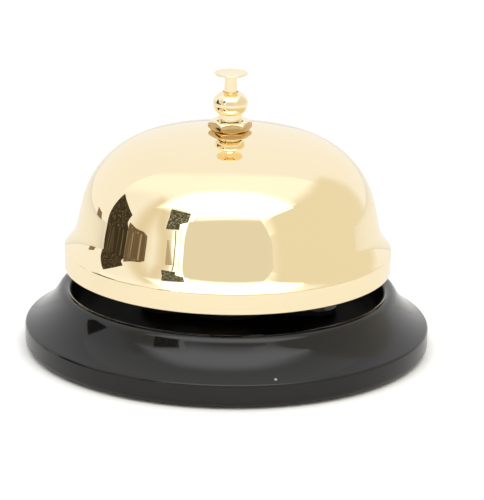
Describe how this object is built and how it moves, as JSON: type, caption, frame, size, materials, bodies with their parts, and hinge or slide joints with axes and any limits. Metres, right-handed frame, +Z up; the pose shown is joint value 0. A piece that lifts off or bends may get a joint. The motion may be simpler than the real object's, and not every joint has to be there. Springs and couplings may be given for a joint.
{
  "type": "service bell",
  "caption": "Round counter bell: a domed metal gong on a hollow post over a flared dish base, rung by pressing a top button that drives a sprung rod and a hammer.",
  "frame": {"origin": "on the bell's axis, at the height of the surface it stands on", "axes": "+Z up along the bell's axis; +X towards the hammer; -Y is the side seen in front"},
  "size_m": [0.0848, 0.0848, 0.0593],
  "materials": {
    "black_gloss": "black moulded plastic, high gloss",
    "gold_plate": "pale gold mirror plating on steel",
    "brass_nut": "polished brass, deeper gold than the gong",
    "brass": "plain turned brass",
    "zinc_steel": "bright zinc-plated steel",
    "spring_steel": "drawn spring wire",
    "black_steel": "black satin coating",
    "rubber": "matt black",
    "nylon": "natural nylon"
  },
  "bodies": {
    "root": {"base_shell": "black_gloss", "bottom_plate": "black_steel", "non_slip_ring": "rubber", "base_screw_1": "zinc_steel", "base_screw_2": "zinc_steel", "base_screw_3": "zinc_steel", "striker_frame": "black_steel", "frame_screw_1": "zinc_steel", "frame_screw_2": "zinc_steel", "centre_post": "gold_plate", "post_washer": "zinc_steel", "post_nut": "zinc_steel", "gong_seat_washer": "nylon", "gong": "gold_plate", "gong_nut": "brass_nut", "ball_finial": "gold_plate", "return_spring": "spring_steel", "guide_bush": "brass", "pivot_pin": "zinc_steel", "pin_clip": "spring_steel", "arm_spacer": "brass", "hammer_spring": "spring_steel"},
    "plunger": {"push_button": "gold_plate", "plunger_rod": "zinc_steel", "rod_clip": "spring_steel"},
    "hammer": {"hammer_arm": "zinc_steel", "hammer_head": "brass", "hammer_rivet": "zinc_steel"}
  },
  "joints": [
    {"name": "plunger_press", "type": "slide", "parent": "root", "child": "plunger", "axis": [0, 0, -1], "range_m": [0, 0.0032], "stiffness_N_per_m": 300, "springref_m": -0.003, "deforming": ["return_spring"]},
    {"name": "hammer_swing", "type": "hinge", "parent": "root", "child": "hammer", "pos_m": [0.012, 0, 0.027], "axis": [0, -1, 0], "range_deg": [0, 17.3], "deforming": ["hammer_spring"]}
  ],
  "couplings": [
    {"joint": "hammer_swing", "follows": "plunger_press", "rad_per_m": 93.75}
  ]
}
